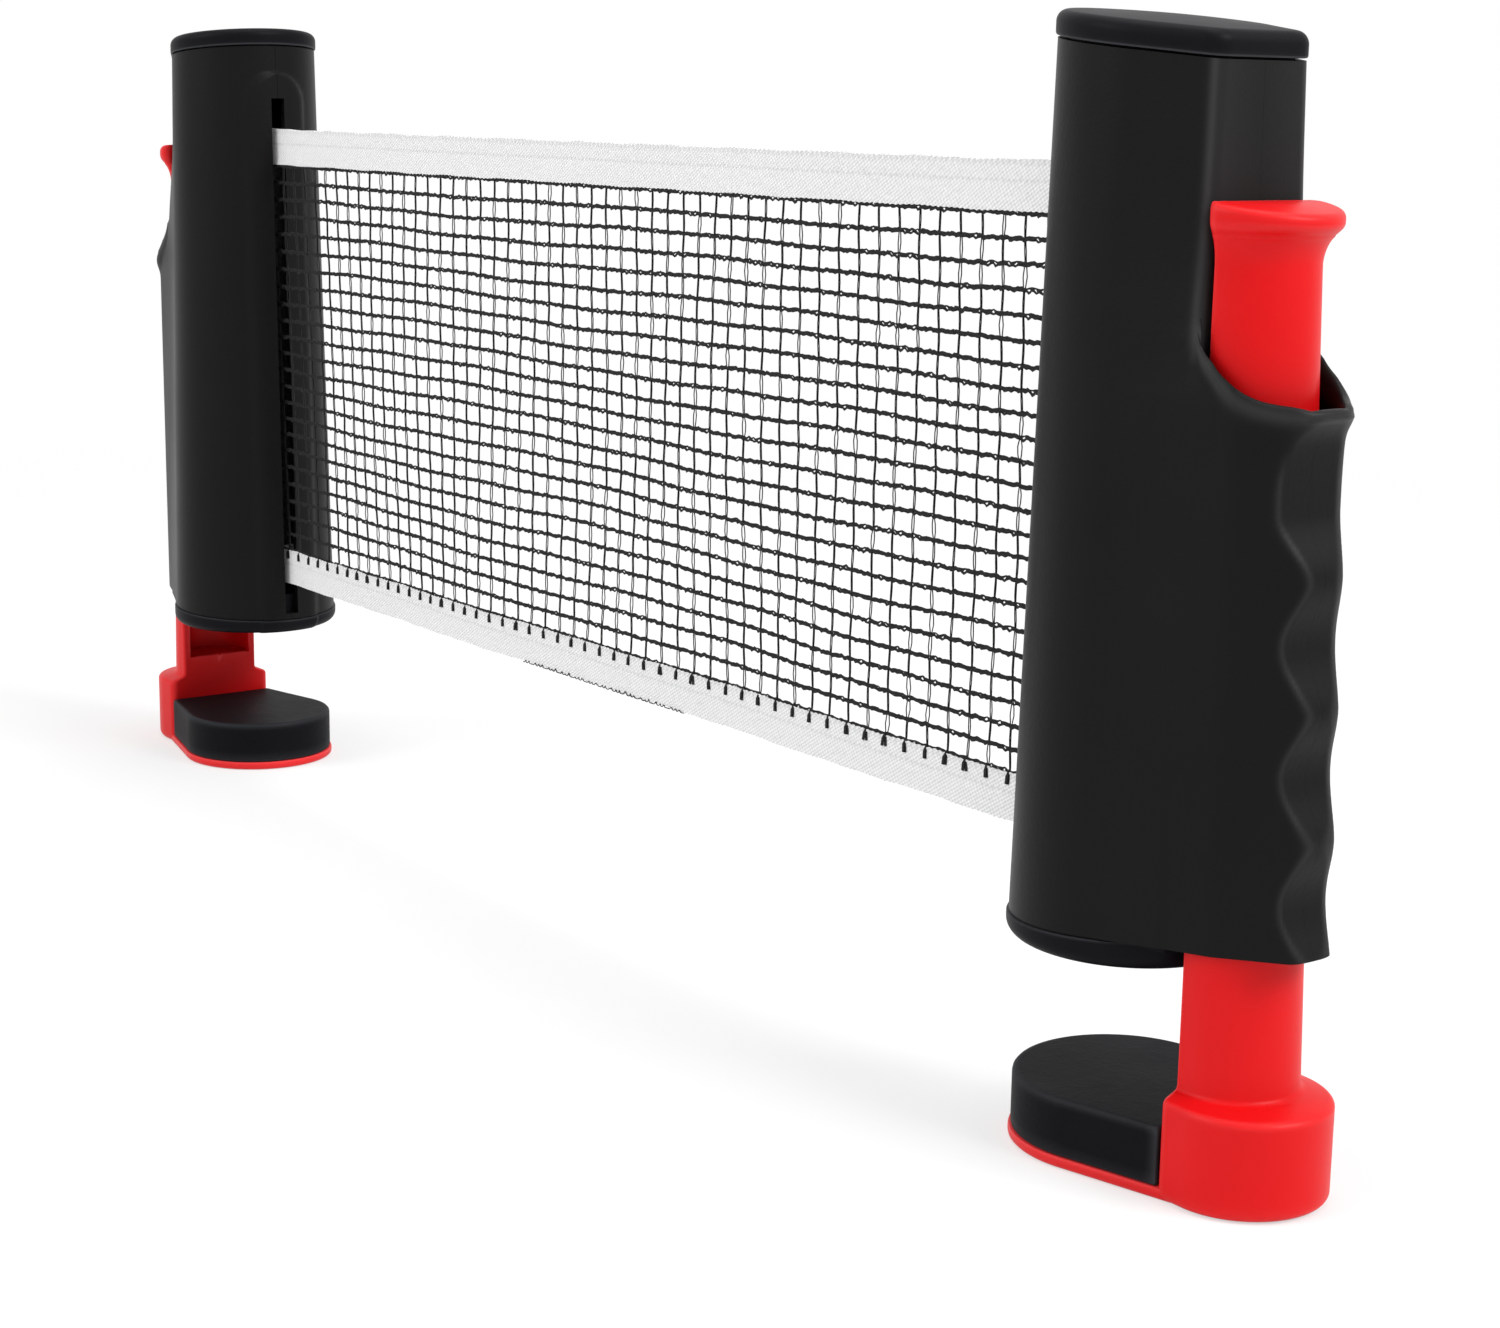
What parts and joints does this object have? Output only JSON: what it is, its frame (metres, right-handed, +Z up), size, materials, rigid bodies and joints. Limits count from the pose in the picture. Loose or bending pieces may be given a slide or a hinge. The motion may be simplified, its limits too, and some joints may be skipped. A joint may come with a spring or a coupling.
{
  "type": "retractable table tennis net set",
  "caption": "Roll-out table tennis net between clamp posts, each with a sprung sliding jaw, thumb button, finger grip and net reel",
  "frame": {"origin": "Centre of post A's foot, on the reel's axis where it meets the table top", "axes": "+X along the net from post A to post B, +Y across the net towards one end of the table, +Z up"},
  "size_m": [0.4942, 0.0498, 0.2251],
  "materials": {
    "housing": "satin fine-grained moulding",
    "cap": "semi-gloss moulding",
    "clamp_red": "satin moulding",
    "rubber": "matt",
    "steel": "drawn wire and bar",
    "spool": "moulded",
    "bush": "natural acetal",
    "net_cord": "knitted cord",
    "tape": "fine woven tape"
  },
  "bodies": {
    "post_a": {"housing_left_a": "housing", "housing_right_a": "housing", "top_cap_a": "cap", "base_cap_a": "cap", "foot_pad_a": "rubber", "base_screws_a": "steel", "reel_axle_a": "steel", "spring_seat_a": "cap", "clamp_spring_a": "steel", "net_mesh": "net_cord", "top_tape": "tape", "bottom_tape": "tape"},
    "clamp_a": {"clamp_slider_a": "clamp_red", "jaw_pad_a": "rubber"},
    "reel_a": {"reel_spool_a": "spool", "upper_bush_a": "bush", "lower_bush_a": "bush", "net_roll_a": "net_cord", "net_clip_a": "bush", "reel_spring_a": "steel"},
    "post_b": {"housing_left_b": "housing", "housing_right_b": "housing", "top_cap_b": "cap", "base_cap_b": "cap", "foot_pad_b": "rubber", "base_screws_b": "steel", "reel_axle_b": "steel", "spring_seat_b": "cap", "clamp_spring_b": "steel"},
    "clamp_b": {"clamp_slider_b": "clamp_red", "jaw_pad_b": "rubber"},
    "reel_b": {"reel_spool_b": "spool", "upper_bush_b": "bush", "lower_bush_b": "bush", "net_roll_b": "net_cord", "net_clip_b": "bush", "reel_spring_b": "steel"}
  },
  "joints": [
    {"name": "net_pull", "type": "slide", "parent": "post_a", "child": "post_b", "axis": [1, 0, 0], "range_m": [-0.34, 1.35], "deforming": ["net_mesh", "top_tape", "bottom_tape"]},
    {"name": "clamp_slide_a", "type": "slide", "parent": "post_a", "child": "clamp_a", "axis": [0, 0, -1], "range_m": [-0.026, 0.021], "stiffness_N_per_m": 400, "deforming": ["clamp_spring_a"]},
    {"name": "clamp_slide_b", "type": "slide", "parent": "post_b", "child": "clamp_b", "axis": [0, 0, -1], "range_m": [-0.026, 0.021], "stiffness_N_per_m": 400, "deforming": ["clamp_spring_b"]},
    {"name": "reel_spin_a", "type": "hinge", "parent": "post_a", "child": "reel_a", "pos_m": [0, 0, 0.08], "axis": [0, 0, 1], "range_deg": [-890, 3525]},
    {"name": "reel_spin_b", "type": "hinge", "parent": "post_b", "child": "reel_b", "pos_m": [0.393, 0, 0.08], "axis": [0, 0, 1], "range_deg": [-890, 3525]}
  ],
  "couplings": [
    {"joint": "reel_spin_a", "follows": "net_pull", "rad_per_m": 45.45},
    {"joint": "reel_spin_b", "follows": "net_pull", "rad_per_m": 45.45}
  ]
}
